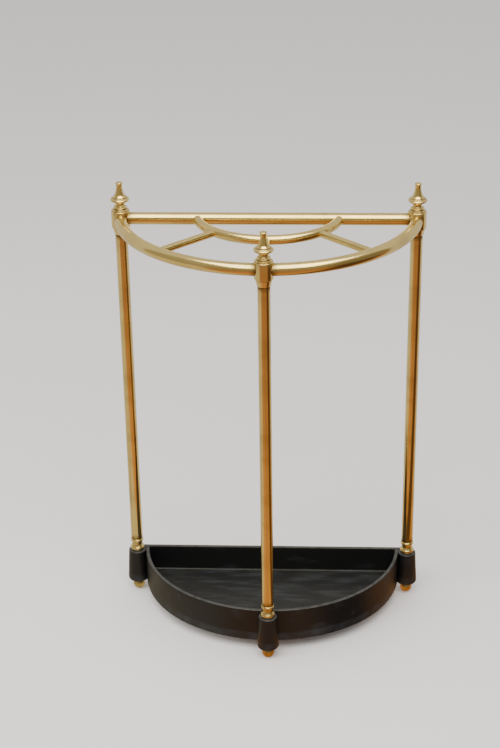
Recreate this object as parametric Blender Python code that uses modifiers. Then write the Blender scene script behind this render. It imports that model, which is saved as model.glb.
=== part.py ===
# Half-round umbrella stand: three brass posts on a black cast-iron tray, with a divided
# brass ring at the top. Metres, +Z up, the flat side facing +Y. The origin is on the
# ground, midway between the posts' front and back rows.
import math

import bmesh
import bpy
from mathutils import Vector

# Plan: the ring and the small hoop inside it follow ellipses about one centre
RING_HALF_WIDTH = 0.1907
RING_REACH = 0.1744           # from the ellipses' centre to the front post's axis
HOOP_HALF_WIDTH = 0.0928
HOOP_REACH = 0.0832
CENTRE_BEHIND = 0.0137        # the ellipses' centre, behind the back posts' axes
SPOKE_ANGLE = math.radians(47.4)   # of each side spoke, from straight ahead

# Heights
CAST_BOTTOM = 0.0162
TRAY_FLOOR_UNDERSIDE = 0.0222
TRAY_FLOOR_TOP = 0.0272
CAST_TOP = 0.0649
FERRULE_TOP = 0.0839
COLLAR_BOTTOM = 0.5479
COLLAR_STEP = 0.5572
RAIL_HEIGHT = 0.5685
COLLAR_TOP = 0.5800
FINIAL_HEIGHT = 0.0374

# Stock and castings
RAIL_RADIUS = 0.00795         # 5/8 in tube, for the posts and the outer rails
HOOP_RADIUS = 0.00635         # 1/2 in tube
SPOKE_RADIUS = 0.00475        # 3/8 in tube
TUBE_WALL = 0.0012
ROD_RADIUS = 0.0030           # M6 tie rod
COLLAR_RADIUS = 0.0119
BALL_RADIUS = 0.0081
BOSS_TOP_RADIUS = 0.0123
BOSS_BOTTOM_RADIUS = 0.0146
BOSS_EDGE = 0.0034            # rounding of each boss's lower edge
CAST_WALL = 0.0054
WALL_FROM_POST = 0.0116       # from a post's axis to the outer face of the tray's wall

# Where pieces meet
GAP = 0.0003                  # between pieces that touch
RAIL_START = 0.0090           # from a post's axis to the end of a rail in its socket
SPIGOT_LENGTH = 0.0080        # of the spigots inside the ends of the post tubes
ROD_BOTTOM = 0.0090
ROD_TOP = 0.5960
BEYOND = 0.0100               # how far a cutter runs past the face it opens

# Facets
TURNED_SIDES = 20
CUTTER_SIDES = 24
ROD_SIDES = 12
RAIL_RESOLUTION = 6           # 16 sides
HOOP_RESOLUTION = 5           # 14 sides
SPOKE_RESOLUTION = 4          # 12 sides
RAIL_STEPS = 14
HOOP_STEPS = 20
TRAY_STEPS = 36
ARC_STEPS = 3

# Colour, metallic, roughness
BRASS = ((0.78, 0.55, 0.22), 1.0, 0.22)
BLACK_IRON = ((0.018, 0.017, 0.018), 0.2, 0.45)
STEEL = ((0.42, 0.42, 0.43), 1.0, 0.40)

POST_DEPTH = RING_REACH - CENTRE_BEHIND
BACK_Y = POST_DEPTH / 2
CENTRE_Y = BACK_Y + CENTRE_BEHIND
RIGHT_POST_ANGLE = -math.asin(CENTRE_BEHIND / RING_REACH)
FRONT_POST_ANGLE = math.radians(-90)
POST_HALF_SPAN = RING_HALF_WIDTH * math.cos(RIGHT_POST_ANGLE)
POSTS = {
    "left": Vector((-POST_HALF_SPAN, BACK_Y, 0)),
    "right": Vector((POST_HALF_SPAN, BACK_Y, 0)),
    "front": Vector((0, -BACK_Y, 0)),
}
ROD_HOLE_RADIUS = ROD_RADIUS + GAP
SPIGOT_RADIUS = RAIL_RADIUS - TUBE_WALL - GAP
WALL_BACK = BACK_Y + BOSS_TOP_RADIUS - GAP

for old in list(bpy.data.objects):
    bpy.data.objects.remove(old, do_unlink=True)
parts = bpy.data.collections.new("umbrella_stand")
cutters = bpy.data.collections.new("cutters")
for collection in (parts, cutters):
    bpy.context.scene.collection.children.link(collection)


def add_part(item, look):
    """Put a finished piece in the stand, with a material of its own."""
    colour, metallic, roughness = look
    material = bpy.data.materials.new(item.name + "_finish")
    material.use_nodes = True
    shader = material.node_tree.nodes["Principled BSDF"]
    shader.inputs["Base Color"].default_value = (*colour, 1)
    shader.inputs["Metallic"].default_value = metallic
    shader.inputs["Roughness"].default_value = roughness
    item.data.materials.append(material)
    parts.objects.link(item)


def change(item, tool, operation):
    """Cut the tool out of a piece, or join it on."""
    tool.hide_render = True
    tool.display_type = "WIRE"
    cutters.objects.link(tool)
    step = item.modifiers.new(tool.name, "BOOLEAN")
    step.operation = operation
    step.solver = "EXACT"
    step.object = tool


def mesh_from_curve(curve):
    """A welded mesh object in the place of a curve object."""
    bpy.context.scene.collection.objects.link(curve)
    bpy.context.view_layer.update()
    graph = bpy.context.evaluated_depsgraph_get()
    mesh = bpy.data.meshes.new_from_object(curve.evaluated_get(graph))
    skin = bmesh.new()
    skin.from_mesh(mesh)
    bmesh.ops.remove_doubles(skin, verts=skin.verts, dist=0.00001)
    skin.to_mesh(mesh)
    skin.free()
    name = curve.name
    place = curve.matrix_world.copy()
    bpy.data.objects.remove(curve, do_unlink=True)
    item = bpy.data.objects.new(name, mesh)
    item.matrix_world = place
    return item


def turned(name, profile, spot, through_bore=False):
    """Turn (radius, height) points about the upright axis at a spot. They run down the outer side."""
    mesh = bpy.data.meshes.new(name)
    edges = [(index, index + 1) for index in range(len(profile) - 1)]
    if through_bore:
        edges.append((len(profile) - 1, 0))
    mesh.from_pydata([(radius, 0, height) for radius, height in profile], edges, [])
    item = bpy.data.objects.new(name, mesh)
    item.location = spot
    screw = item.modifiers.new("turn", "SCREW")
    screw.axis = "Z"
    screw.angle = math.radians(360)
    screw.steps = TURNED_SIDES
    screw.render_steps = TURNED_SIDES
    screw.use_merge_vertices = True
    screw.merge_threshold = 0.00001
    screw.use_smooth_shade = True
    return item


def round_bar(name, start, end, radius, sides):
    """A plain round bar between two points."""
    bar = bmesh.new()
    length = (end - start).length
    bmesh.ops.create_cone(bar, cap_ends=True, segments=sides, radius1=radius, radius2=radius, depth=length)
    mesh = bpy.data.meshes.new(name)
    bar.to_mesh(mesh)
    bar.free()
    mesh.shade_smooth()
    mesh.set_sharp_from_angle(angle=math.radians(35))
    item = bpy.data.objects.new(name, mesh)
    item.location = (start + end) / 2
    item.rotation_mode = "QUATERNION"
    item.rotation_quaternion = (end - start).to_track_quat("Z", "Y")
    return item


def tube_along(name, points, radius, resolution):
    """A hollow tube along a line of points, open at both ends."""
    data = bpy.data.curves.new(name, "CURVE")
    data.dimensions = "3D"
    data.bevel_depth = radius
    data.bevel_resolution = resolution
    spline = data.splines.new("POLY")
    spline.points.add(len(points) - 1)
    for control, point in zip(spline.points, points):
        control.co = (*point, 1)
    item = mesh_from_curve(bpy.data.objects.new(name, data))
    item.data.shade_smooth()
    wall = item.modifiers.new("wall", "SOLIDIFY")
    wall.thickness = TUBE_WALL
    wall.offset = -1
    return item


def moulding(middle, radius, start, end):
    """Points round a turned bead; in degrees, 90 is up and 0 is outwards."""
    points = []
    for angle in spread(math.radians(start), math.radians(end), ARC_STEPS):
        points.append((middle[0] + radius * math.cos(angle), middle[1] + radius * math.sin(angle)))
    return points


def hollow(top, bottom, sag, steps=ARC_STEPS):
    """Points of a turned slope that sags inwards between its ends."""
    points = []
    for share in spread(0, 1, steps):
        radius = top[0] + (bottom[0] - top[0]) * share - 4 * sag * share * (1 - share)
        points.append((radius, top[1] + (bottom[1] - top[1]) * share))
    return points


def spread(start, end, steps):
    return [start + (end - start) * step / steps for step in range(steps + 1)]


def raised(profile, height):
    return [(radius, rise + height) for radius, rise in profile]


# ---- plan of the ring and the hoop ----

def on_ellipse(half_width, reach, angle):
    return Vector((half_width * math.cos(angle), CENTRE_Y + reach * math.sin(angle), RAIL_HEIGHT))


def along_ellipse(half_width, reach, angle):
    return Vector((-half_width * math.sin(angle), reach * math.cos(angle), 0)).normalized()


def angle_after(angle, distance):
    """The ring's angle at a distance along it from another angle."""
    return angle + distance / math.hypot(RING_HALF_WIDTH * math.sin(angle), RING_REACH * math.cos(angle))


def spoke_crossing(half_width, reach, side):
    """The angle at which the spoke on one side (-1 left, 1 right) crosses an ellipse."""
    return math.atan2(-math.cos(SPOKE_ANGLE) / reach, side * math.sin(SPOKE_ANGLE) / half_width)


# ---- cast-iron tray ----

def half_round_slab(name, inset, back_y, low, high):
    """A flat-backed half-round slab, its curved side set in from the ring's centre line."""
    half_width = RING_HALF_WIDTH - inset
    reach = RING_REACH - inset
    corner = math.asin((back_y - CENTRE_Y) / reach)
    data = bpy.data.curves.new(name, "CURVE")
    data.dimensions = "2D"
    data.fill_mode = "BOTH"
    data.extrude = (high - low) / 2
    spline = data.splines.new("POLY")
    spline.points.add(TRAY_STEPS)
    for control, angle in zip(spline.points, spread(-math.pi - corner, corner, TRAY_STEPS)):
        control.co = (half_width * math.cos(angle), CENTRE_Y + reach * math.sin(angle), 0, 1)
    spline.use_cyclic_u = True
    slab = bpy.data.objects.new(name, data)
    slab.location.z = (low + high) / 2
    return mesh_from_curve(slab)


def back_wall_blank():
    """The flat back wall, which runs from one back boss's middle to the other's."""
    bar = bmesh.new()
    bmesh.ops.create_cube(bar, size=1)
    bmesh.ops.scale(bar, vec=(2 * POST_HALF_SPAN, CAST_WALL, CAST_TOP - CAST_BOTTOM), verts=bar.verts)
    mesh = bpy.data.meshes.new("back_wall_blank")
    bar.to_mesh(mesh)
    bar.free()
    blank = bpy.data.objects.new("back_wall_blank", mesh)
    blank.location = (0, WALL_BACK - CAST_WALL / 2, (CAST_BOTTOM + CAST_TOP) / 2)
    return blank


def base_tray():
    """The tray and its three post bosses, one casting with a raised floor."""
    tray = half_round_slab("base_tray", WALL_FROM_POST, WALL_BACK, CAST_BOTTOM, CAST_TOP)
    change(tray, back_wall_blank(), "UNION")
    for side, spot in POSTS.items():
        taper = [(0, CAST_TOP), (BOSS_TOP_RADIUS, CAST_TOP)]
        taper += moulding((BOSS_BOTTOM_RADIUS - BOSS_EDGE, CAST_BOTTOM + BOSS_EDGE), BOSS_EDGE, 0, -90)
        taper += [(0, CAST_BOTTOM)]
        change(tray, turned("boss_blank_" + side, taper, spot), "UNION")
    inner = WALL_FROM_POST + CAST_WALL
    inner_back = WALL_BACK - CAST_WALL
    well = half_round_slab("well_cutter", inner, inner_back, TRAY_FLOOR_TOP, CAST_TOP + BEYOND)
    change(tray, well, "DIFFERENCE")
    recess = half_round_slab("recess_cutter", inner, inner_back, CAST_BOTTOM - BEYOND, TRAY_FLOOR_UNDERSIDE)
    change(tray, recess, "DIFFERENCE")
    for side, spot in POSTS.items():
        low = spot + Vector((0, 0, CAST_BOTTOM - BEYOND))
        high = spot + Vector((0, 0, CAST_TOP + BEYOND))
        change(tray, round_bar("rod_drill_" + side, low, high, ROD_HOLE_RADIUS, CUTTER_SIDES), "DIFFERENCE")
    add_part(tray, BLACK_IRON)


# ---- what stands on each post's axis ----

def foot(side, spot):
    """A ball foot, flat underneath, on a short neck that screws on to the tie rod."""
    neck_radius = 0.0056
    flat_angle = 72
    neck_angle = math.degrees(math.acos(neck_radius / BALL_RADIUS))
    middle = (0, BALL_RADIUS * math.sin(math.radians(flat_angle)))
    top = CAST_BOTTOM - GAP
    hole_end = ROD_BOTTOM - GAP
    profile = [(0, hole_end), (ROD_HOLE_RADIUS, hole_end), (ROD_HOLE_RADIUS, top), (neck_radius, top)]
    profile += moulding(middle, BALL_RADIUS, neck_angle, 0)
    profile += moulding(middle, BALL_RADIUS, 0, -flat_angle)[1:]
    profile += [(0, 0)]
    add_part(turned("foot_" + side, profile, spot), BRASS)


def ferrule(side, spot):
    """The turned base ring of a post: an upper bead, a groove and a fat lower ring."""
    spigot_top = FERRULE_TOP + SPIGOT_LENGTH
    seat = CAST_TOP + GAP
    profile = [(ROD_HOLE_RADIUS, spigot_top), (SPIGOT_RADIUS, spigot_top), (SPIGOT_RADIUS, FERRULE_TOP)]
    profile += [(0.0081, FERRULE_TOP)]
    profile += moulding((0.0062, FERRULE_TOP - 0.0025), 0.0027, 45, -60)
    profile += [(0.0073, FERRULE_TOP - 0.0060)]
    profile += hollow((0.0073, FERRULE_TOP - 0.0080), (0.0087, seat + 0.0065), 0.0003)
    profile += moulding((0.0068, seat + 0.0042), 0.0029, 30, -60)
    profile += [(0.0080, seat + 0.0006), (0.0080, seat), (ROD_HOLE_RADIUS, seat)]
    add_part(turned("ferrule_" + side, profile, spot, through_bore=True), BRASS)


def post(side, spot):
    """A post tube, from the ferrule's shoulder to the collar's."""
    low = FERRULE_TOP + GAP
    high = COLLAR_BOTTOM - GAP
    bore = RAIL_RADIUS - TUBE_WALL
    profile = [(bore, high), (RAIL_RADIUS, high), (RAIL_RADIUS, low), (bore, low)]
    add_part(turned("post_" + side, profile, spot, through_bore=True), BRASS)


def tie_rod(side, spot):
    """The steel rod inside a post, which holds foot, casting, tube, collar and finial together."""
    low = spot + Vector((0, 0, ROD_BOTTOM))
    high = spot + Vector((0, 0, ROD_TOP))
    add_part(round_bar("tie_rod_" + side, low, high, ROD_RADIUS, ROD_SIDES), STEEL)


def collar(side, spot, sockets):
    """The turned corner piece, with a socket for the end of each tube that it holds."""
    edge = 0.0008
    spigot_bottom = COLLAR_BOTTOM - SPIGOT_LENGTH
    profile = [(ROD_HOLE_RADIUS, COLLAR_TOP)]
    profile += moulding((COLLAR_RADIUS - edge, COLLAR_TOP - edge), edge, 90, 0)
    profile += [(COLLAR_RADIUS, COLLAR_STEP), (0.0108, COLLAR_STEP - 0.0007), (0.0088, COLLAR_BOTTOM)]
    profile += [(SPIGOT_RADIUS, COLLAR_BOTTOM), (SPIGOT_RADIUS, spigot_bottom)]
    profile += [(ROD_HOLE_RADIUS, spigot_bottom)]
    piece = turned("collar_" + side, profile, spot, through_bore=True)
    for name, start, direction, radius in sockets:
        way = direction.normalized()
        cutter_name = "socket_" + side + "_" + name
        cutter = round_bar(cutter_name, start - way * GAP, start + way * BEYOND, radius + GAP, CUTTER_SIDES)
        change(piece, cutter, "DIFFERENCE")
    add_part(piece, BRASS)


def finial(side, spot):
    """A button on a flared stem, over a domed flange, a neck, a bead and a flared base."""
    base = COLLAR_TOP + GAP
    hole_end = ROD_TOP - base + GAP
    profile = [(0, FINIAL_HEIGHT), (0.0039, FINIAL_HEIGHT)]
    profile += moulding((0.0035, FINIAL_HEIGHT - 0.0012), 0.0011, 50, -50)
    profile += [(0.0038, FINIAL_HEIGHT - 0.0036), (0.0036, 0.0310), (0.0036, 0.0280)]
    profile += hollow((0.0039, 0.0262), (0.0082, 0.0204), 0.0010)
    profile += hollow((0.0090, 0.0199), (0.0123, 0.0171), -0.0006)
    profile += moulding((0.0107, 0.0150), 0.0020, 20, -60)
    profile += [(0.0098, 0.0126), (0.0066, 0.0118)]
    profile += hollow((0.0060, 0.0108), (0.0062, 0.0066), 0.0002)
    profile += [(0.0074, 0.0050)]
    profile += moulding((0.0076, 0.0037), 0.0010, 60, -50)
    profile += hollow((0.0084, 0.0024), (0.0105, 0.0009), 0.0003)
    profile += [(0.0106, 0), (ROD_HOLE_RADIUS, 0), (ROD_HOLE_RADIUS, hole_end), (0, hole_end)]
    add_part(turned("finial_" + side, raised(profile, base), spot), BRASS)


# ---- rails, hoop and spokes ----

def back_rail():
    half = POST_HALF_SPAN - RAIL_START
    ends = [Vector((-half, BACK_Y, RAIL_HEIGHT)), Vector((half, BACK_Y, RAIL_HEIGHT))]
    add_part(tube_along("back_rail", ends, RAIL_RADIUS, RAIL_RESOLUTION), BRASS)


def ring_points(sign):
    """The centre line of one half of the ring (-1 left, 1 right), from its back collar to the front one."""
    start = angle_after(RIGHT_POST_ANGLE, -RAIL_START)
    end = angle_after(FRONT_POST_ANGLE, RAIL_START)
    points = []
    for angle in spread(start, end, RAIL_STEPS):
        point = on_ellipse(RING_HALF_WIDTH, RING_REACH, angle)
        points.append(Vector((sign * point.x, point.y, point.z)))
    return points


def ring_rails():
    for side, sign in (("left", -1), ("right", 1)):
        add_part(tube_along("ring_rail_" + side, ring_points(sign), RAIL_RADIUS, RAIL_RESOLUTION), BRASS)


def inner_hoop():
    """The small hoop, its ends shaped to the back rail."""
    end_angle = -math.asin(CENTRE_BEHIND / HOOP_REACH)
    angles = spread(-math.pi - end_angle, end_angle, HOOP_STEPS)
    points = [on_ellipse(HOOP_HALF_WIDTH, HOOP_REACH, angle) for angle in angles]
    hoop = tube_along("inner_hoop", points, HOOP_RADIUS, HOOP_RESOLUTION)
    reach = Vector((HOOP_HALF_WIDTH + BEYOND, 0, 0))
    middle = Vector((0, BACK_Y, RAIL_HEIGHT))
    change(hoop, round_bar("hoop_end_cutter", middle - reach, middle + reach, RAIL_RADIUS + GAP, CUTTER_SIDES),
           "DIFFERENCE")
    add_part(hoop, BRASS)


def shape_end(spoke, name, point, direction, radius):
    """Hollow a spoke's end to the side of the tube that it meets at a point."""
    reach = direction * (SPOKE_RADIUS + BEYOND)
    cutter = round_bar(spoke.name + "_" + name, point - reach, point + reach, radius + GAP, CUTTER_SIDES)
    change(spoke, cutter, "DIFFERENCE")


def spokes():
    for side, sign in (("left", -1), ("right", 1)):
        hoop_angle = spoke_crossing(HOOP_HALF_WIDTH, HOOP_REACH, sign)
        ring_angle = spoke_crossing(RING_HALF_WIDTH, RING_REACH, sign)
        start = on_ellipse(HOOP_HALF_WIDTH, HOOP_REACH, hoop_angle)
        end = on_ellipse(RING_HALF_WIDTH, RING_REACH, ring_angle)
        spoke = tube_along("spoke_" + side, [start, end], SPOKE_RADIUS, SPOKE_RESOLUTION)
        shape_end(spoke, "hoop_end", start, along_ellipse(HOOP_HALF_WIDTH, HOOP_REACH, hoop_angle), HOOP_RADIUS)
        shape_end(spoke, "ring_end", end, along_ellipse(RING_HALF_WIDTH, RING_REACH, ring_angle), RAIL_RADIUS)
        add_part(spoke, BRASS)
    start = on_ellipse(HOOP_HALF_WIDTH, HOOP_REACH, FRONT_POST_ANGLE)
    end = Vector((0, -BACK_Y + RAIL_START, RAIL_HEIGHT))
    spoke = tube_along("spoke_centre", [start, end], SPOKE_RADIUS, SPOKE_RESOLUTION)
    shape_end(spoke, "hoop_end", start, Vector((1, 0, 0)), HOOP_RADIUS)
    add_part(spoke, BRASS)


def collar_sockets():
    """Where each tube starts in its collar, which way it runs, and its radius."""
    half = POST_HALF_SPAN - RAIL_START
    right = ring_points(1)
    left = ring_points(-1)
    sockets = {
        "left": [("back_rail", Vector((-half, BACK_Y, RAIL_HEIGHT)), Vector((1, 0, 0)), RAIL_RADIUS)],
        "right": [("back_rail", Vector((half, BACK_Y, RAIL_HEIGHT)), Vector((-1, 0, 0)), RAIL_RADIUS)],
        "front": [("spoke", Vector((0, -BACK_Y + RAIL_START, RAIL_HEIGHT)), Vector((0, 1, 0)), SPOKE_RADIUS)],
    }
    for back, points in (("left", left), ("right", right)):
        sockets[back].append(("ring_rail", points[0], points[1] - points[0], RAIL_RADIUS))
        sockets["front"].append((back + "_rail", points[-1], points[-2] - points[-1], RAIL_RADIUS))
    return sockets


base_tray()
sockets_of = collar_sockets()
for side, spot in POSTS.items():
    foot(side, spot)
    ferrule(side, spot)
    post(side, spot)
    tie_rod(side, spot)
    collar(side, spot, sockets_of[side])
    finial(side, spot)
back_rail()
ring_rails()
inner_hoop()
spokes()
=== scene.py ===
import math

import bmesh
import bpy
from mathutils import Matrix, Vector


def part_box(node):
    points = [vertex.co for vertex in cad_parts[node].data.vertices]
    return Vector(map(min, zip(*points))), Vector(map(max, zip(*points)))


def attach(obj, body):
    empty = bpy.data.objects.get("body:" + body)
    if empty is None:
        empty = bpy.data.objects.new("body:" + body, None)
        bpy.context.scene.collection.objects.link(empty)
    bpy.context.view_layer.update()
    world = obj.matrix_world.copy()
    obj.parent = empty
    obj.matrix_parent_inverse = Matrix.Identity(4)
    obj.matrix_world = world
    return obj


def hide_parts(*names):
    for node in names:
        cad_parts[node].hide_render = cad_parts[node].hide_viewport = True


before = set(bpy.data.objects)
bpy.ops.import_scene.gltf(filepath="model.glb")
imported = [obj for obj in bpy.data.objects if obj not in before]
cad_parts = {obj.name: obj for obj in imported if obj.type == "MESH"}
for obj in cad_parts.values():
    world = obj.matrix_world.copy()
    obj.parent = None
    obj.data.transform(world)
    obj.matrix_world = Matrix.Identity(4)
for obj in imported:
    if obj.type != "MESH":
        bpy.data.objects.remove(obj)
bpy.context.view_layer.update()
print("frame loaded:", len(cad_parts), "nodes")


# places, read from the frame, apart from the ellipses' centre offset and the hoop's half width
def middleOf(node):
    low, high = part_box(node)
    return (low + high) / 2


sides = ("left", "right", "front")
postAt = {side: Vector((middleOf("post_" + side).x, middleOf("post_" + side).y, 0)) for side in sides}
tubeRadius = (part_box("post_front")[1].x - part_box("post_front")[0].x) / 2
railHeight = middleOf("back_rail").z
backY = postAt["left"].y
frontY = postAt["front"].y

castLow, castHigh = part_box("base_tray")[0].z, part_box("base_tray")[1].z
postLow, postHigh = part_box("post_front")[0].z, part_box("post_front")[1].z
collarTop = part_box("collar_front")[1].z
finialLow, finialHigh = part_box("finial_front")[0].z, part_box("finial_front")[1].z

# the ring and the hoop are parts of two ellipses about one centre, a little behind the back rail
centreBehind = 0.0137
centreY = backY + centreBehind
ringReach = centreY - frontY
ringHalf = postAt["right"].x / math.cos(math.asin(centreBehind / ringReach))
hoopRadius = (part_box("inner_hoop")[1].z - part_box("inner_hoop")[0].z) / 2
hoopHalf = 0.0928
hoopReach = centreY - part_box("inner_hoop")[0].y - hoopRadius


# node helpers
def addNode(tree, kind, **values):
    node = tree.nodes.new(kind)
    for key, value in values.items():
        if key in node.bl_rna.properties:
            setattr(node, key, value)
        else:
            node.inputs[key].default_value = value
    return node


def link(tree, start, end):
    tree.links.new(start, end)


def maths(tree, operation, first, second=None):
    node = addNode(tree, "ShaderNodeMath", operation=operation)
    for socket, value in zip(node.inputs, (first, second)):
        if value is None:
            continue
        if isinstance(value, (int, float)):
            socket.default_value = value
        else:
            link(tree, value, socket)
    return node.outputs[0]


def mixColour(tree, share, first, second):
    node = addNode(tree, "ShaderNodeMix", data_type="RGBA")
    for socket, value in zip((node.inputs[0], node.inputs[6], node.inputs[7]), (share, first, second)):
        if isinstance(value, (int, float)):
            socket.default_value = value
        elif isinstance(value, tuple):
            socket.default_value = (*value, 1)
        else:
            link(tree, value, socket)
    return node.outputs[2]


def spreadOver(tree, value, low, high, toLow=0.0, toHigh=1.0):
    node = addNode(tree, "ShaderNodeMapRange", interpolation_type="SMOOTHSTEP")
    link(tree, value, node.inputs[0])
    for socket, number in zip(node.inputs[1:5], (low, high, toLow, toHigh)):
        socket.default_value = number
    return node.outputs[0]


def noise(tree, vector, scale, detail, stretch=(1, 1, 1)):
    place = addNode(tree, "ShaderNodeMapping")
    place.inputs["Scale"].default_value = stretch
    link(tree, vector, place.inputs["Vector"])
    node = addNode(tree, "ShaderNodeTexNoise", Scale=scale, Detail=detail)
    link(tree, place.outputs[0], node.inputs["Vector"])
    return node.outputs[0]


def bumpFrom(tree, height, strength, distance, below=None):
    node = addNode(tree, "ShaderNodeBump", Strength=strength, Distance=distance)
    link(tree, height, node.inputs["Height"])
    if below is not None:
        link(tree, below, node.inputs["Normal"])
    return node.outputs[0]


def newMaterial(name):
    material = bpy.data.materials.new(name)
    material.use_nodes = True
    return material, material.node_tree, material.node_tree.nodes["Principled BSDF"]


# brass
brassLook = {
    "bright": (0.88, 0.71, 0.31),
    "olive": (0.66, 0.53, 0.24),
    "brown": (0.42, 0.26, 0.12),
    "grimeAndShade": (0.13, 0.070, 0.034),
    "roughness": 0.14,
    "roughnessSpread": 0.09,
    "scratch": 0.05,
    "grimeDulls": 0.30,
}


def brassMaterial(name, vectorFrom, lines):
    # vectorFrom is "object" or an attribute's name; lines stretches the polishing marks
    material, tree, shader = newMaterial(name)
    look = brassLook
    if vectorFrom == "object":
        vector = addNode(tree, "ShaderNodeTexCoord").outputs["Object"]
    else:
        vector = addNode(tree, "ShaderNodeAttribute", attribute_name=vectorFrom).outputs["Vector"]
    shader.inputs["Metallic"].default_value = 1.0

    cloud = noise(tree, vector, 22, 5)
    specks = noise(tree, vector, 240, 5)
    tarnishAndShade = spreadOver(tree, cloud, 0.42, 0.78)
    spots = spreadOver(tree, specks, 0.62, 0.76)
    colour = mixColour(tree, tarnishAndShade, look["bright"], look["olive"])
    colour = mixColour(tree, maths(tree, "MULTIPLY", spots, 0.22), colour, look["brown"])
    # darker towards a dark brown where the attribute is set: grime, and painted shade in the hollows, at
    # the tube ends and on the feet
    grimeAndShade = addNode(tree, "ShaderNodeAttribute", attribute_name="grimeAndShade").outputs["Fac"]
    patchy = maths(tree, "MULTIPLY", grimeAndShade, spreadOver(tree, specks, 0.25, 0.60, 0.55, 1.0))
    colour = mixColour(tree, patchy, colour, look["grimeAndShade"])
    link(tree, colour, shader.inputs["Base Color"])

    polish = noise(tree, vector, 1500, 2, lines)
    hairs = noise(tree, vector, 500, 2, lines)
    scratches = spreadOver(tree, hairs, 0.66, 0.72)
    dullest = look["roughness"] + look["roughnessSpread"]
    rough = spreadOver(tree, cloud, 0.30, 0.75, look["roughness"], dullest)
    rough = maths(tree, "ADD", rough, maths(tree, "MULTIPLY", scratches, look["scratch"]))
    rough = maths(tree, "ADD", rough, maths(tree, "MULTIPLY", patchy, look["grimeDulls"]))
    link(tree, rough, shader.inputs["Roughness"])
    fine = bumpFrom(tree, polish, 0.02, 0.00002)
    waves = bumpFrom(tree, noise(tree, vector, 40, 1), 0.06, 0.0002, fine)
    link(tree, bumpFrom(tree, scratches, 0.03, 0.00002, waves), shader.inputs["Normal"])
    return material


tubeBrass = brassMaterial("tubeBrass", "tubeSpace", (0.05, 1.0, 1.0))
turnedBrass = brassMaterial("turnedBrass", "object", (0.10, 0.10, 1.0))


# black iron and steel
trayLook = {
    "backFace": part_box("base_tray")[1].y - 0.0026,
    "fromPost": 0.0116,
    "wall": 0.0054,
    "floorTop": 0.0272,
    "floorUnder": 0.0222,
    "rim": 0.0016,
    "fillet": 0.0024,
    "corner": 0.0030,
    "arcSteps": 120,
    "backSteps": 24,
    "bossTop": 0.0123,
    "bossBottom": 0.0146,
    "bossEdge": 0.0034,
}

ironLook = {
    "black": (0.0058, 0.0060, 0.0066),
    "dusty": (0.023, 0.026, 0.030),
    "wornAndLit": (0.075, 0.075, 0.078),
    "roughness": 0.38,
    "shine": 0.38,
}


def ironMaterial():
    material, tree, shader = newMaterial("blackIron")
    look = ironLook
    shader.inputs["Specular IOR Level"].default_value = look["shine"]
    place = addNode(tree, "ShaderNodeTexCoord").outputs["Object"]
    height = addNode(tree, "ShaderNodeSeparateXYZ")
    link(tree, place, height.inputs[0])
    cloud = noise(tree, place, 14, 5)
    grain = noise(tree, place, 420, 5)
    # dull scuffs, mostly on the tray's floor, where sticks are put down
    scuffs = noise(tree, place, 60, 6, (0.35, 1.6, 1.0))
    onFloor = spreadOver(tree, height.outputs["Z"], trayLook["floorTop"] + 0.0030, trayLook["floorTop"])
    dull = maths(tree, "MULTIPLY", spreadOver(tree, scuffs, 0.40, 0.70, 0.25, 1.0), onFloor)
    clouded = spreadOver(tree, cloud, 0.40, 0.62)
    scuffed = maths(tree, "MULTIPLY", spreadOver(tree, scuffs, 0.56, 0.72), clouded)
    scuffed = maths(tree, "MAXIMUM", maths(tree, "MULTIPLY", scuffed, 0.6), dull)
    colour = mixColour(tree, scuffed, look["black"], look["dusty"])

    # paint rubbed off along the top rim and the boss tops, which are lighter also as a painted highlight
    edge = spreadOver(tree, height.outputs["Z"], castHigh - 0.0006, castHigh - 0.0001)
    rubs = noise(tree, place, 120, 6)
    rubbedAndLit = maths(tree, "MULTIPLY", edge, spreadOver(tree, rubs, 0.30, 0.56, 0.35, 1.0))
    # and a faint painted highlight along the bottom edge, where it catches the light
    foot = spreadOver(tree, height.outputs["Z"], castLow + 0.0010, castLow + 0.0002)
    rubbedAndLit = maths(tree, "MAXIMUM", rubbedAndLit, maths(tree, "MULTIPLY", foot, 0.35))
    colour = mixColour(tree, rubbedAndLit, colour, look["wornAndLit"])
    link(tree, colour, shader.inputs["Base Color"])
    link(tree, maths(tree, "MULTIPLY", rubbedAndLit, 0.5), shader.inputs["Metallic"])

    rough = spreadOver(tree, cloud, 0.3, 0.7, look["roughness"] - 0.05, look["roughness"] + 0.10)
    rough = maths(tree, "ADD", rough, maths(tree, "MULTIPLY", scuffed, 0.16))
    link(tree, rough, shader.inputs["Roughness"])
    sand = bumpFrom(tree, grain, 0.22, 0.0002)
    link(tree, bumpFrom(tree, cloud, 0.30, 0.0015, sand), shader.inputs["Normal"])
    return material


def steelMaterial():
    material, tree, shader = newMaterial("rodSteel")
    place = addNode(tree, "ShaderNodeTexCoord").outputs["Object"]
    shader.inputs["Metallic"].default_value = 1.0
    drawn = noise(tree, place, 900, 3, (1.0, 1.0, 0.05))
    link(tree, mixColour(tree, drawn, (0.30, 0.30, 0.31), (0.52, 0.52, 0.53)), shader.inputs["Base Color"])
    link(tree, spreadOver(tree, drawn, 0.3, 0.7, 0.28, 0.45), shader.inputs["Roughness"])
    link(tree, bumpFrom(tree, drawn, 0.2, 0.0001), shader.inputs["Normal"])
    return material


blackIron = ironMaterial()
rodSteel = steelMaterial()
for side in sides:
    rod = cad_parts["tie_rod_" + side]
    for place in rod.material_slots:
        place.material = rodSteel
print("materials made")


# mesh helpers
def spread(start, end, steps):
    return [start + (end - start) * step / steps for step in range(steps + 1)]


def bead(middle, radius, start, end, steps=10):
    # in degrees, 90 is up and 0 is outwards
    angles = spread(math.radians(start), math.radians(end), steps)
    return [(middle[0] + radius * math.cos(a), middle[1] + radius * math.sin(a)) for a in angles]


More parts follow.
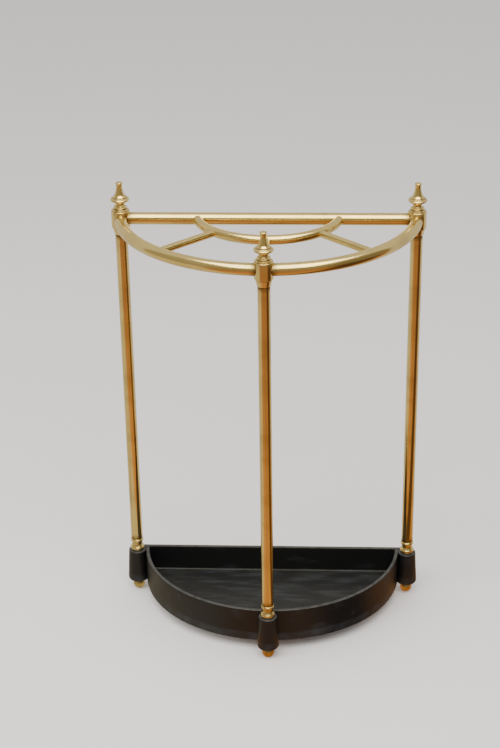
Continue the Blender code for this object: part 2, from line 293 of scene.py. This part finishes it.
def hollow(top, bottom, sag, steps=8):
    points = []
    for share in spread(0, 1, steps):
        radius = top[0] + (bottom[0] - top[0]) * share - 4 * sag * share * (1 - share)
        points.append((radius, top[1] + (bottom[1] - top[1]) * share))
    return points


def through(*points, steps=5):
    # a smooth line through a few points
    ends = [points[0], *points, points[-1]]
    line = [points[0]]
    for index in range(1, len(ends) - 2):
        before, start, end, after = (Vector(spot) for spot in ends[index - 1:index + 3])
        bend = 2 * before - 5 * start + 4 * end - after
        twist = 3 * start - before - 3 * end + after
        for t in spread(0, 1, steps)[1:]:
            spot = 0.5 * (2 * start + (end - before) * t + bend * t ** 2 + twist * t ** 3)
            line.append((spot.x, spot.y))
    return line


def rounded(points, radius, steps=4):
    # the same outline with its inner corners eased by a small radius
    eased = [points[0]]
    for before, corner, after in zip(points, points[1:], points[2:]):
        here = Vector(corner)
        back = Vector(before) - here
        ahead = Vector(after) - here
        room = min(back.length, ahead.length) * 0.45
        size = min(radius, room)
        if size < 0.00002 or back.angle(ahead) > math.radians(155):
            eased.append(corner)
            continue
        start = here + back.normalized() * size
        end = here + ahead.normalized() * size
        for share in spread(0, 1, steps):
            point = start * (1 - share) ** 2 + here * 2 * share * (1 - share) + end * share ** 2
            eased.append((point.x, point.y))
    eased.append(points[-1])
    return eased


def keepPiece(item, material, slotName, *nodes):
    item.data.materials.clear()
    item.data.materials.append(material)
    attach(item, "root")
    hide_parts(*nodes)


def settled(item, name):
    # the evaluated mesh as a plain object of its own
    bpy.context.view_layer.update()
    graph = bpy.context.evaluated_depsgraph_get()
    mesh = bpy.data.meshes.new_from_object(item.evaluated_get(graph))
    bpy.data.objects.remove(item, do_unlink=True)
    done = bpy.data.objects.new(name, mesh)
    bpy.context.scene.collection.objects.link(done)
    return done


def stepAlong(profile, index, way):
    # the outline's point about a groove's width before or after another
    here = Vector(profile[index])
    while 0 <= index + way < len(profile):
        if (Vector(profile[index]) - here).length >= turnedLook["grooveWidth"]:
            break
        index += way
    return Vector(profile[index])


def turn(name, profile, spot, sides=96, tarnishAndShade=0.0):
    # spin (radius, height) points, darker where the outline is hollow, with grime and painted shade there,
    # and darker all over by a set amount, which on the feet is painted shade
    skin = bmesh.new()
    grimeAndShade = skin.verts.layers.float.new("grimeAndShade")
    verts = [skin.verts.new((radius, 0, height)) for radius, height in profile]
    for index, vert in enumerate(verts):
        vert[grimeAndShade] = tarnishAndShade
        here = Vector(profile[index])
        before = stepAlong(profile, index, -1)
        after = stepAlong(profile, index, 1)
        if (here - before).length > 0 and (after - here).length > 0:
            bend = (here - before).angle_signed(after - here)
            vert[grimeAndShade] = min(1.0, max(tarnishAndShade, -bend * turnedLook["grimeAndShadeGain"] - 0.1))
    for first, second in zip(verts, verts[1:]):
        skin.edges.new((first, second))
    bmesh.ops.spin(skin, geom=list(skin.verts) + list(skin.edges), cent=(0, 0, 0), axis=(0, 0, 1),
                   angle=math.tau, steps=sides, use_merge=True)
    bmesh.ops.remove_doubles(skin, verts=skin.verts, dist=0.000004)
    bmesh.ops.translate(skin, verts=skin.verts, vec=spot)
    bmesh.ops.recalc_face_normals(skin, faces=skin.faces)
    mesh = bpy.data.meshes.new(name)
    skin.to_mesh(mesh)
    skin.free()
    mesh.shade_smooth()
    mesh.set_sharp_from_angle(angle=math.radians(38))
    item = bpy.data.objects.new(name, mesh)
    bpy.context.scene.collection.objects.link(item)
    return item


# turned brass
turnedLook = {
    "sides": 96,
    "grimeAndShadeGain": 1.0,
    "grooveWidth": 0.0012,
    "footShade": 0.55,
    "bore": 0.0033,
    "spigot": 0.00645,
    "spigotLength": 0.0080,
    "edge": 0.0003,
}


def footProfile():
    ball = 0.0081
    flat = 72
    neck = 0.0056
    middle = (0, ball * math.sin(math.radians(flat)))
    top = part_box("foot_front")[1].z
    points = [(0, 0.0087), (0.0033, 0.0087), (0.0033, top), (neck, top)]
    points += bead(middle, ball, math.degrees(math.acos(neck / ball)), -flat, 28)
    points += [(0, 0)]
    return points


def ferruleProfile():
    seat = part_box("ferrule_front")[0].z
    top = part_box("ferrule_front")[1].z - turnedLook["spigotLength"]
    spigotTop = top + turnedLook["spigotLength"]
    points = [(turnedLook["bore"], spigotTop), (turnedLook["spigot"], spigotTop)]
    points += [(turnedLook["spigot"], top), (0.0079, top), (0.0082, top - 0.0002), (0.0083, top - 0.0008)]
    points += bead((0.0063, top - 0.0031), 0.0026, 58, -58, 12)
    points += [(0.0074, top - 0.0056)]
    points += hollow((0.0073, top - 0.0060), (0.0084, seat + 0.0070), 0.0009, 10)
    points += [(0.0087, seat + 0.0066)]
    points += bead((0.0067, seat + 0.0037), 0.0030, 52, -62, 14)
    points += [(0.0080, seat + 0.0006), (0.0080, seat), (turnedLook["bore"], seat)]
    points += [(turnedLook["bore"], spigotTop)]
    return points


def collarProfile():
    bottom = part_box("collar_front")[0].z + turnedLook["spigotLength"]
    radius = (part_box("collar_front")[1].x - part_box("collar_front")[0].x) / 2
    step = bottom + 0.0093
    spigotBottom = bottom - turnedLook["spigotLength"]
    points = [(turnedLook["bore"], collarTop), (radius - 0.0010, collarTop)]
    points += bead((radius - 0.0009, collarTop - 0.0009), 0.0009, 80, 10, 8)
    points += [(radius, step + 0.0006)]
    points += bead((radius - 0.0006, step + 0.0006), 0.0006, -10, -80, 6)
    points += [(radius - 0.0012, step - 0.0001), (radius - 0.0014, step - 0.0007)]
    points += hollow((radius - 0.0013, step - 0.0010), (0.0086, bottom), 0.0001, 6)
    points += [(turnedLook["spigot"], bottom), (turnedLook["spigot"], spigotBottom)]
    points += [(turnedLook["bore"], spigotBottom), (turnedLook["bore"], collarTop)]
    return points


def finialProfile():
    low = finialLow
    high = finialHigh
    points = [(0, high), (0.0034, high)]
    points += bead((0.0035, high - 0.0012), 0.0011, 75, -55, 12)
    points += through((0.0040, high - 0.0026), (0.0038, high - 0.0042), (0.0039, low + 0.0312),
                      (0.0042, low + 0.0288), (0.0048, low + 0.0260), (0.0056, low + 0.0232),
                      (0.0066, low + 0.0208), (0.0080, low + 0.0190))
    points += [(0.0083, low + 0.0187), (0.0083, low + 0.0176)]
    points += through((0.0085, low + 0.0171), (0.0093, low + 0.0165), (0.0100, low + 0.0161))
    points += bead((0.0104, low + 0.0143), 0.0018, 80, -70, 18)
    points += through((0.0103, low + 0.0124), (0.0088, low + 0.0118), (0.0070, low + 0.0111),
                      (0.0060, low + 0.0098), (0.0058, low + 0.0082), (0.0061, low + 0.0066),
                      (0.0068, low + 0.0056), (0.0076, low + 0.0050))
    points += bead((0.0077, low + 0.0038), 0.0010, 75, -65, 10)
    points += [(0.0079, low + 0.0028)]
    points += through((0.0080, low + 0.0025), (0.0085, low + 0.0016), (0.0094, low + 0.0010),
                      (0.0105, low + 0.0008))
    points += [(0.0107, low + 0.0004), (0.0106, low)]
    points += [(turnedLook["bore"], low), (turnedLook["bore"], low + 0.0160), (0, low + 0.0160)]
    return points


# the feet are darkened all over: painted shade, for the shadow they stand in
for side in sides:
    for kind, profile, tarnishAndShade in (("foot", footProfile(), turnedLook["footShade"]),
                                   ("ferrule", ferruleProfile(), 0.0), ("finial", finialProfile(), 0.0)):
        piece = turn(kind + "Turned_" + side, rounded(profile, turnedLook["edge"]), postAt[side],
                     turnedLook["sides"], tarnishAndShade)
        keepPiece(piece, turnedBrass, "brass", kind + "_" + side)
print("feet, ferrules and finials turned")


# tubes along a path, in Geometry Nodes
tubeLook = {
    "wall": 0.0012,
    "sides": 64,
    "ringSteps": 150,
    "hoopSteps": 110,
    "straightSteps": 60,
    "railStart": 0.0090,
    "grimeAndShadeReach": 0.0085,
    "postGrimeAndShade": 0.0004,
}


def addInput(tree, name, kind, value=None):
    socket = tree.interface.new_socket(name, in_out="INPUT", socket_type=kind)
    if value is not None:
        socket.default_value = value
    return socket


def sweepNodes(tree, source, path, finish):
    # a round tube round a path; tubeSpace is the tube pulled straight: along, across, up
    along = addNode(tree, "GeometryNodeSplineParameter")
    capture = addNode(tree, "GeometryNodeCaptureAttribute", domain="POINT")
    capture.capture_items.new("FLOAT", "along")
    link(tree, path, capture.inputs["Geometry"])
    link(tree, along.outputs["Length"], capture.inputs["along"])
    circle = addNode(tree, "GeometryNodeCurvePrimitiveCircle", mode="RADIUS")
    link(tree, source.outputs["Sides"], circle.inputs["Resolution"])
    link(tree, source.outputs["Radius"], circle.inputs["Radius"])
    spot = addNode(tree, "GeometryNodeInputPosition")
    ring = addNode(tree, "GeometryNodeCaptureAttribute", domain="POINT")
    ring.capture_items.new("VECTOR", "round")
    link(tree, circle.outputs["Curve"], ring.inputs["Geometry"])
    link(tree, spot.outputs[0], ring.inputs["round"])
    sweep = addNode(tree, "GeometryNodeCurveToMesh")
    link(tree, capture.outputs["Geometry"], sweep.inputs["Curve"])
    link(tree, ring.outputs["Geometry"], sweep.inputs["Profile Curve"])
    across = addNode(tree, "ShaderNodeSeparateXYZ")
    link(tree, ring.outputs["round"], across.inputs[0])
    unrolled = addNode(tree, "ShaderNodeCombineXYZ")
    link(tree, capture.outputs["along"], unrolled.inputs["X"])
    link(tree, across.outputs["X"], unrolled.inputs["Y"])
    link(tree, across.outputs["Y"], unrolled.inputs["Z"])
    store = addNode(tree, "GeometryNodeStoreNamedAttribute", data_type="FLOAT_VECTOR", domain="POINT")
    store.inputs["Name"].default_value = "tubeSpace"
    link(tree, sweep.outputs[0], store.inputs["Geometry"])
    link(tree, unrolled.outputs[0], store.inputs["Value"])
    # darker towards both ends, where the tube meets the next part: grime and painted shade
    whole = addNode(tree, "GeometryNodeCurveLength")
    link(tree, path, whole.inputs[0])
    left = maths(tree, "SUBTRACT", whole.outputs[0], capture.outputs["along"])
    ends = maths(tree, "MINIMUM", left, capture.outputs["along"])
    fade = maths(tree, "SUBTRACT", 1.0, maths(tree, "DIVIDE", ends, source.outputs["Grime and shade reach"]))
    storeGrimeAndShade = addNode(tree, "GeometryNodeStoreNamedAttribute", data_type="FLOAT", domain="POINT")
    storeGrimeAndShade.inputs["Name"].default_value = "grimeAndShade"
    link(tree, store.outputs[0], storeGrimeAndShade.inputs["Geometry"])
    link(tree, maths(tree, "MAXIMUM", fade, 0.0), storeGrimeAndShade.inputs["Value"])
    smooth = addNode(tree, "GeometryNodeSetShadeSmooth")
    link(tree, storeGrimeAndShade.outputs[0], smooth.inputs["Geometry"])
    real = addNode(tree, "GeometryNodeRealizeInstances")
    link(tree, smooth.outputs[0], real.inputs[0])
    paint = addNode(tree, "GeometryNodeSetMaterial")
    link(tree, real.outputs[0], paint.inputs["Geometry"])
    link(tree, source.outputs["Finish"], paint.inputs["Material"])
    link(tree, paint.outputs[0], finish.inputs[0])


def newTree(name, extra):
    tree = bpy.data.node_groups.new(name, "GeometryNodeTree")
    tree.interface.new_socket("Geometry", in_out="OUTPUT", socket_type="NodeSocketGeometry")
    for label, kind in extra:
        addInput(tree, label, kind)
    addInput(tree, "Radius", "NodeSocketFloat", tubeRadius)
    addInput(tree, "Grime and shade reach", "NodeSocketFloat", tubeLook["grimeAndShadeReach"])
    addInput(tree, "Sides", "NodeSocketInt", tubeLook["sides"])
    addInput(tree, "Finish", "NodeSocketMaterial")
    return tree, addNode(tree, "NodeGroupInput"), addNode(tree, "NodeGroupOutput")


def makeArcTree():
    # the path is part of an ellipse: x = half width * cos, y = centre + reach * sin
    tree, source, finish = newTree("railOnEllipse", (
        ("Half width", "NodeSocketFloat"), ("Reach", "NodeSocketFloat"), ("Centre y", "NodeSocketFloat"),
        ("Height", "NodeSocketFloat"), ("Start", "NodeSocketFloat"), ("End", "NodeSocketFloat"),
        ("Steps", "NodeSocketInt")))
    line = addNode(tree, "GeometryNodeMeshLine")
    link(tree, maths(tree, "ADD", source.outputs["Steps"], 1), line.inputs["Count"])
    index = addNode(tree, "GeometryNodeInputIndex").outputs[0]
    share = maths(tree, "DIVIDE", index, source.outputs["Steps"])
    turnBy = maths(tree, "SUBTRACT", source.outputs["End"], source.outputs["Start"])
    angle = maths(tree, "ADD", source.outputs["Start"], maths(tree, "MULTIPLY", share, turnBy))
    spot = addNode(tree, "ShaderNodeCombineXYZ")
    sideways = maths(tree, "MULTIPLY", source.outputs["Half width"], maths(tree, "COSINE", angle))
    link(tree, sideways, spot.inputs["X"])
    forward = maths(tree, "MULTIPLY", source.outputs["Reach"], maths(tree, "SINE", angle))
    link(tree, maths(tree, "ADD", source.outputs["Centre y"], forward), spot.inputs["Y"])
    link(tree, source.outputs["Height"], spot.inputs["Z"])
    put = addNode(tree, "GeometryNodeSetPosition")
    link(tree, line.outputs[0], put.inputs["Geometry"])
    link(tree, spot.outputs[0], put.inputs["Position"])
    curve = addNode(tree, "GeometryNodeMeshToCurve")
    link(tree, put.outputs[0], curve.inputs[0])
    sweepNodes(tree, source, curve.outputs[0], finish)
    return tree


def makeStraightTree():
    tree, source, finish = newTree("railBetweenPoints", (
        ("Start", "NodeSocketVector"), ("End", "NodeSocketVector"), ("Steps", "NodeSocketInt")))
    line = addNode(tree, "GeometryNodeCurvePrimitiveLine")
    link(tree, source.outputs["Start"], line.inputs["Start"])
    link(tree, source.outputs["End"], line.inputs["End"])
    points = addNode(tree, "GeometryNodeResampleCurve")
    link(tree, line.outputs[0], points.inputs["Curve"])
    link(tree, source.outputs["Steps"], points.inputs["Count"])
    sweepNodes(tree, source, points.outputs[0], finish)
    return tree


arcTree = makeArcTree()
straightTree = makeStraightTree()


def growTube(name, tree, settings):
    item = bpy.data.objects.new(name + "Path", bpy.data.meshes.new(name + "Path"))
    bpy.context.scene.collection.objects.link(item)
    grow = item.modifiers.new("grow", "NODES")
    grow.node_group = tree
    values = {"Sides": tubeLook["sides"], "Grime and shade reach": tubeLook["grimeAndShadeReach"], "Finish": tubeBrass,
              **settings}
    for socket in tree.interface.items_tree:
        if socket.in_out == "INPUT" and socket.name in values:
            grow[socket.identifier] = values[socket.name]
    wall = item.modifiers.new("wall", "SOLIDIFY")
    wall.thickness = tubeLook["wall"]
    wall.offset = -1
    return settled(item, name)


def cutRound(item, start, end, radius):
    # hollow a tube's end to the side of the round tube that it meets
    bar = bmesh.new()
    bmesh.ops.create_cone(bar, cap_ends=True, segments=96, radius1=radius, radius2=radius,
                          depth=(end - start).length)
    turnTo = (end - start).to_track_quat("Z", "Y").to_matrix().to_4x4()
    bmesh.ops.transform(bar, matrix=Matrix.Translation((start + end) / 2) @ turnTo, verts=bar.verts)
    mesh = bpy.data.meshes.new("cutter")
    bar.to_mesh(mesh)
    bar.free()
    cutter = bpy.data.objects.new("cutter", mesh)
    bpy.context.scene.collection.objects.link(cutter)
    cut = item.modifiers.new("cut", "BOOLEAN")
    cut.operation = "DIFFERENCE"
    cut.solver = "EXACT"
    cut.object = cutter
    done = settled(item, item.name + "Cut")
    bpy.data.objects.remove(cutter, do_unlink=True)
    return done


def onEllipse(half, reach, angle):
    return Vector((half * math.cos(angle), centreY + reach * math.sin(angle), railHeight))


def alongEllipse(half, reach, angle):
    return Vector((-half * math.sin(angle), reach * math.cos(angle), 0)).normalized()


def finishTube(item, name):
    item.name = name
    item.data.name = name
    item.data.shade_smooth()
    item.data.set_sharp_from_angle(angle=math.radians(38))
    return item


rightAngle = -math.asin(centreBehind / ringReach)
frontAngle = math.radians(-90)
rearPace = math.hypot(ringHalf * math.sin(rightAngle), ringReach * math.cos(rightAngle))
startStep = tubeLook["railStart"] / rearPace
endStep = tubeLook["railStart"] / ringHalf
ellipseSettings = {"Centre y": centreY, "Height": railHeight}
ringSettings = {**ellipseSettings, "Half width": ringHalf, "Reach": ringReach, "Radius": tubeRadius,
                "Steps": tubeLook["ringSteps"]}

rightRail = growTube("ringRailRight", arcTree, {
    **ringSettings, "Start": rightAngle - startStep, "End": frontAngle + endStep})
leftRail = growTube("ringRailLeft", arcTree, {
    **ringSettings, "Start": -math.pi - rightAngle + startStep, "End": frontAngle - endStep})
for rail, node in ((rightRail, "ring_rail_right"), (leftRail, "ring_rail_left")):
    keepPiece(finishTube(rail, rail.name), tubeBrass, "brass", node)

backHalf = postAt["right"].x - tubeLook["railStart"]
backRail = growTube("backRailTube", straightTree, {
    "Start": (-backHalf, backY, railHeight), "End": (backHalf, backY, railHeight), "Radius": tubeRadius,
    "Steps": tubeLook["straightSteps"]})
keepPiece(finishTube(backRail, "backRailTube"), tubeBrass, "brass", "back_rail")

hoopEnd = -math.asin(centreBehind / hoopReach)
hoop = growTube("hoopTube", arcTree, {
    **ellipseSettings, "Half width": hoopHalf, "Reach": hoopReach, "Radius": hoopRadius,
    "Start": hoopEnd, "End": -math.pi - hoopEnd, "Steps": tubeLook["hoopSteps"]})
backLine = [Vector((x, backY, railHeight)) for x in (-hoopHalf - 0.02, hoopHalf + 0.02)]
hoop = finishTube(cutRound(hoop, backLine[0], backLine[1], tubeRadius), "hoopTube")
keepPiece(hoop, tubeBrass, "brass", "inner_hoop")


# spokes, with their ends shaped to hoop and ring
spokeLook = {"angle": math.radians(47.4), "radius": 0.00475}


def crossing(half, reach, sign):
    return math.atan2(-math.cos(spokeLook["angle"]) / reach, sign * math.sin(spokeLook["angle"]) / half)


def makeSpoke(name, node, start, end, cuts):
    spoke = growTube(name, straightTree, {"Start": start, "End": end, "Radius": spokeLook["radius"],
                                          "Steps": tubeLook["straightSteps"] // 3})
    for point, direction, radius in cuts:
        reach = direction * 0.02
        spoke = cutRound(spoke, point - reach, point + reach, radius)
    keepPiece(finishTube(spoke, name), tubeBrass, "brass", node)


for side, sign in (("left", -1), ("right", 1)):
    hoopAngle = crossing(hoopHalf, hoopReach, sign)
    ringAngle = crossing(ringHalf, ringReach, sign)
    start = onEllipse(hoopHalf, hoopReach, hoopAngle)
    end = onEllipse(ringHalf, ringReach, ringAngle)
    makeSpoke("spokeTube_" + side, "spoke_" + side, start, end, (
        (start, alongEllipse(hoopHalf, hoopReach, hoopAngle), hoopRadius),
        (end, alongEllipse(ringHalf, ringReach, ringAngle), tubeRadius)))
start = onEllipse(hoopHalf, hoopReach, frontAngle)
end = Vector((0, frontY + tubeLook["railStart"], railHeight))
makeSpoke("spokeTube_centre", "spoke_centre", start, end, ((start, Vector((1, 0, 0)), hoopRadius),))
print("rails, hoop and spokes drawn")


# posts and collars
for side in sides:
    low = postAt[side] + Vector((0, 0, postLow))
    high = postAt[side] + Vector((0, 0, postHigh))
    post = growTube("postTube_" + side, straightTree, {
        "Start": low, "End": high, "Radius": tubeRadius, "Steps": tubeLook["straightSteps"],
        "Grime and shade reach": tubeLook["postGrimeAndShade"]})
    keepPiece(finishTube(post, "postTube_" + side), tubeBrass, "brass", "post_" + side)

    piece = turn("collarTurned_" + side, rounded(collarProfile(), turnedLook["edge"]), postAt[side],
                 turnedLook["sides"])
    keepPiece(piece, turnedBrass, "brass", "collar_" + side)
print("posts and collars made")


# cast-iron tray
def trayOutline(inset, corner):
    half = ringHalf - inset
    reach = ringReach - inset
    wallY = trayLook["backFace"] - (inset - trayLook["fromPost"])
    angle = math.asin((wallY - centreY) / reach)
    tip = Vector((half * math.cos(angle), wallY))
    arcStart = angle - corner / math.hypot(half * math.sin(angle), reach * math.cos(angle))
    right = [Vector((x, wallY)) for x in spread(0, tip.x - corner, trayLook["backSteps"])]
    arc = [Vector((half * math.cos(a), centreY + reach * math.sin(a)))
           for a in spread(arcStart, -math.pi / 2, trayLook["arcSteps"])]
    for share in spread(0, 1, 6)[1:-1]:
        right.append(right[trayLook["backSteps"]] * (1 - share) ** 2 + tip * 2 * share * (1 - share)
                     + arc[0] * share ** 2)
    right += arc
    left = [Vector((-point.x, point.y)) for point in reversed(right[1:-1])]
    return right + left


def quarter(inset, height, radius, start, end):
    return [(inset - x, z) for x, z in bead((0, height), radius, start, end, 4)]


def trayBody():
    # loops of the outline, from the underside round the wall to the floor
    rim = trayLook["rim"]
    fillet = trayLook["fillet"]
    outer = trayLook["fromPost"]
    inner = outer + trayLook["wall"]
    section = [(inner + 0.0012, trayLook["floorUnder"])]
    section += [(inner, trayLook["floorUnder"] - 0.0012)]
    section += quarter(inner - rim, castLow + rim, rim, 180, 270)
    section += quarter(outer + rim, castLow + rim, rim, 270, 360)
    section += quarter(outer + rim, castHigh - rim, rim, 0, 90)
    section += quarter(inner - rim, castHigh - rim, rim, 90, 180)
    section += [(inner + x, z) for x, z in
                ((fillet * (1 - math.cos(a)), trayLook["floorTop"] + fillet * (1 - math.sin(a)))
                 for a in spread(0, math.pi / 2, 5))]
    skin = bmesh.new()
    loops = []
    for inset, height in section:
        corner = trayLook["corner"] if inset > inner - rim else rim
        loops.append([skin.verts.new((p.x, p.y, height)) for p in trayOutline(inset, corner)])
    for lower, upper in zip(loops, loops[1:]):
        for index in range(len(lower)):
            after = (index + 1) % len(lower)
            skin.faces.new((lower[index], lower[after], upper[after], upper[index]))
    skin.faces.new(loops[0])
    skin.faces.new(loops[-1])
    bmesh.ops.remove_doubles(skin, verts=skin.verts, dist=0.000002)
    bmesh.ops.recalc_face_normals(skin, faces=skin.faces)
    mesh = bpy.data.meshes.new("castTray")
    skin.to_mesh(mesh)
    skin.free()
    item = bpy.data.objects.new("castTrayBody", mesh)
    bpy.context.scene.collection.objects.link(item)
    return item


def bossProfile():
    top = trayLook["bossTop"]
    bottom = trayLook["bossBottom"]
    points = [(0, castHigh), (top - 0.0012, castHigh)]
    points += bead((top - 0.0012, castHigh - 0.0012), 0.0012, 80, 5, 6)
    edge = trayLook["bossEdge"]
    points += bead((bottom - edge, castLow + edge), edge, 0, -85, 12)
    points += [(bottom - edge, castLow), (0, castLow)]
    return points


def wallEnd(sign):
    # the back wall's end, which runs on into a boss
    block = bmesh.new()
    bmesh.ops.create_cube(block, size=1)
    length = 0.0200
    thick = trayLook["wall"] - 0.00002
    bmesh.ops.scale(block, vec=(length, thick, castHigh - castLow - 0.00002), verts=block.verts)
    middle = Vector((sign * (postAt["right"].x - length / 2), trayLook["backFace"] - trayLook["wall"] / 2,
                     (castHigh + castLow) / 2))
    bmesh.ops.translate(block, verts=block.verts, vec=middle)
    edges = [edge for edge in block.edges if abs(edge.verts[0].co.x - edge.verts[1].co.x) > length / 2]
    bmesh.ops.bevel(block, geom=edges, offset=trayLook["rim"], segments=4, profile=0.5, affect="EDGES")
    mesh = bpy.data.meshes.new("wallEnd")
    block.to_mesh(mesh)
    block.free()
    item = bpy.data.objects.new("wallEnd", mesh)
    bpy.context.scene.collection.objects.link(item)
    return item


tray = trayBody()
joined = [wallEnd(-1), wallEnd(1)]
joined += [turn("bossBlank", bossProfile(), postAt[side]) for side in sides]
for blank in joined:
    join = tray.modifiers.new(blank.name, "BOOLEAN")
    join.operation = "UNION"
    join.solver = "EXACT"
    join.object = blank
tray = settled(tray, "castTray")
for blank in joined:
    bpy.data.objects.remove(blank, do_unlink=True)
tray.data.shade_smooth()
tray.data.set_sharp_from_angle(angle=math.radians(35))
weigh = tray.modifiers.new("weigh", "WEIGHTED_NORMAL")
weigh.keep_sharp = True
weigh.weight = 80
tray = settled(tray, "castTray")
keepPiece(tray, blackIron, "iron", "base_tray")
print("tray cast:", len(tray.data.polygons), "faces")


# floor, lights and camera
studio = {
    "floor": (0.93, 0.895, 0.875),
    "world": (0.88, 0.87, 0.87),
    "worldStrength": 0.90,
    "nearWood": (0.80, 0.37, 0.13),
    "farWood": (0.50, 0.235, 0.11),
    "darkWood": (0.10, 0.050, 0.028),
    "paleWood": (0.78, 0.66, 0.44),
    "darkSide": (0.72, 0.90, 1.40, 1.62),
    "paleSide": (-2.60, -2.30, -0.86, -0.68),
    "lens": 84.66,
    "cameraAt": (0.0811, -2.0124, 1.4259),
    "pitch": 27.3,
    "heading": 2.95,
    "roll": 0.92,
}


def plainSheet(name, corner, across, up, colour, glow=0.0):
    # a flat rectangle from one corner; with a glow it shines by itself
    sheet = bmesh.new()
    corner = Vector(corner)
    across = Vector(across)
    up = Vector(up)
    spots = (corner, corner + across, corner + across + up, corner + up)
    sheet.faces.new([sheet.verts.new(spot) for spot in spots])
    mesh = bpy.data.meshes.new(name)
    sheet.to_mesh(mesh)
    sheet.free()
    item = bpy.data.objects.new(name, mesh)
    bpy.context.scene.collection.objects.link(item)
    material, _, shader = newMaterial(name)
    shader.inputs["Base Color"].default_value = (*colour, 1)
    shader.inputs["Roughness"].default_value = 0.8
    if glow:
        shader.inputs["Base Color"].default_value = (0, 0, 0, 1)
        shader.inputs["Specular IOR Level"].default_value = 0
        shader.inputs["Emission Color"].default_value = (*colour, 1)
        shader.inputs["Emission Strength"].default_value = glow
    mesh.materials.append(material)
    return item


def sector(tree, angle, edges):
    # full between the middle two directions, fading out towards the outer two
    start, full, fade, end = edges
    rise = spreadOver(tree, angle, start, full)
    return maths(tree, "MULTIPLY", rise, spreadOver(tree, angle, end, fade))


def tintWood(item):
    # golden near the stand, browner farther off, darker to the right and paler to the left
    tree = item.data.materials[0].node_tree
    place = addNode(tree, "ShaderNodeTexCoord").outputs["Object"]
    axes = addNode(tree, "ShaderNodeSeparateXYZ")
    link(tree, place, axes.inputs[0])
    distance = addNode(tree, "ShaderNodeVectorMath", operation="LENGTH")
    link(tree, place, distance.inputs[0])
    angle = maths(tree, "ARCTAN2", axes.outputs["X"], maths(tree, "MULTIPLY", axes.outputs["Y"], -1))
    far = spreadOver(tree, distance.outputs["Value"], 0.20, 1.10)
    colour = mixColour(tree, far, studio["nearWood"], studio["farWood"])
    colour = mixColour(tree, sector(tree, angle, studio["darkSide"]), colour, studio["darkWood"])
    colour = mixColour(tree, sector(tree, angle, studio["paleSide"]), colour, studio["paleWood"])
    boards = noise(tree, place, 5, 3, (1.0, 0.12, 1.0))
    colour = mixColour(tree, spreadOver(tree, boards, 0.35, 0.70, 0.0, 0.35), colour, studio["darkWood"])
    link(tree, colour, tree.nodes["Principled BSDF"].inputs["Emission Color"])


plainSheet("floor", (-30, -30, 0), (60, 0, 0), (0, 60, 0), studio["floor"])

# cards that only show as reflections in the polished metal
cards = (
    plainSheet("woodCard", (-2.4, -2.8, 0.0002), (4.8, 0, 0), (0, 3.1, 0), (1, 1, 1), 1.0),
    plainSheet("wallCard", (-2.4, 0.14, 0), (4.8, 0, 0), (0, 0, 2.4), (0.72, 0.66, 0.55), 1.0),
    plainSheet("leftCard", (-2.4, 0.5, 0), (0, -3.3, 0), (0, 0, 2.4), (0.40, 0.35, 0.25), 1.0),
    plainSheet("rightCard", (2.4, -2.8, 0), (0, 3.3, 0), (0, 0, 2.4), (0.24, 0.20, 0.13), 1.0),
    plainSheet("frontCard", (-2.4, -2.8, 0), (4.8, 0, 0), (0, 0, 2.4), (0.33, 0.28, 0.19), 1.0),
    plainSheet("ceilingCard", (-2.4, -2.8, 2.5), (4.8, 0, 0), (0, 5.2, 0), (0.42, 0.38, 0.28), 1.0),
    plainSheet("brightCard", (-1.0, -2.4, 2.4), (2.4, 0, 0), (0, 3.2, 0), (1.0, 0.92, 0.66), 5.5),
)
tintWood(cards[0])
for card in cards:
    card.visible_camera = False
    card.visible_diffuse = False
    card.visible_shadow = False

world = bpy.data.worlds.new("studio")
world.use_nodes = True
world.node_tree.nodes["Background"].inputs["Color"].default_value = (*studio["world"], 1)
world.node_tree.nodes["Background"].inputs["Strength"].default_value = studio["worldStrength"]
bpy.context.scene.world = world


def softLight(name, place, target, width, height, power, colour=(1, 1, 1)):
    lamp = bpy.data.lights.new(name, "AREA")
    lamp.shape = "RECTANGLE"
    lamp.size = width
    lamp.size_y = height
    lamp.energy = power
    lamp.color = colour
    item = bpy.data.objects.new(name, lamp)
    item.location = place
    item.rotation_mode = "QUATERNION"
    item.rotation_quaternion = (Vector(target) - Vector(place)).to_track_quat("-Z", "Y")
    item.visible_glossy = False
    bpy.context.scene.collection.objects.link(item)
    return item


softLight("overhead", (-0.2, -1.1, 2.3), (0, 0, 0.5), 2.6, 1.5, 60)
softLight("leftWindow", (-2.4, -1.2, 1.7), (0, 0, 0.4), 1.2, 1.4, 24, (1.0, 0.98, 0.95))

lens = bpy.data.cameras.new("camera")
lens.sensor_width = 36
lens.lens = studio["lens"]
lens.clip_end = 50
camera = bpy.data.objects.new("camera", lens)
bpy.context.scene.collection.objects.link(camera)
pitch = math.radians(studio["pitch"])
heading = math.radians(studio["heading"])
roll = math.radians(studio["roll"])
camera.location = studio["cameraAt"]
camera.rotation_mode = "QUATERNION"
aim = Matrix.Rotation(heading, 3, "Z") @ Matrix.Rotation(math.pi / 2 - pitch, 3, "X")
camera.rotation_quaternion = (aim @ Matrix.Rotation(-roll, 3, "Z")).to_quaternion()
bpy.context.scene.camera = camera

print("stand ready")
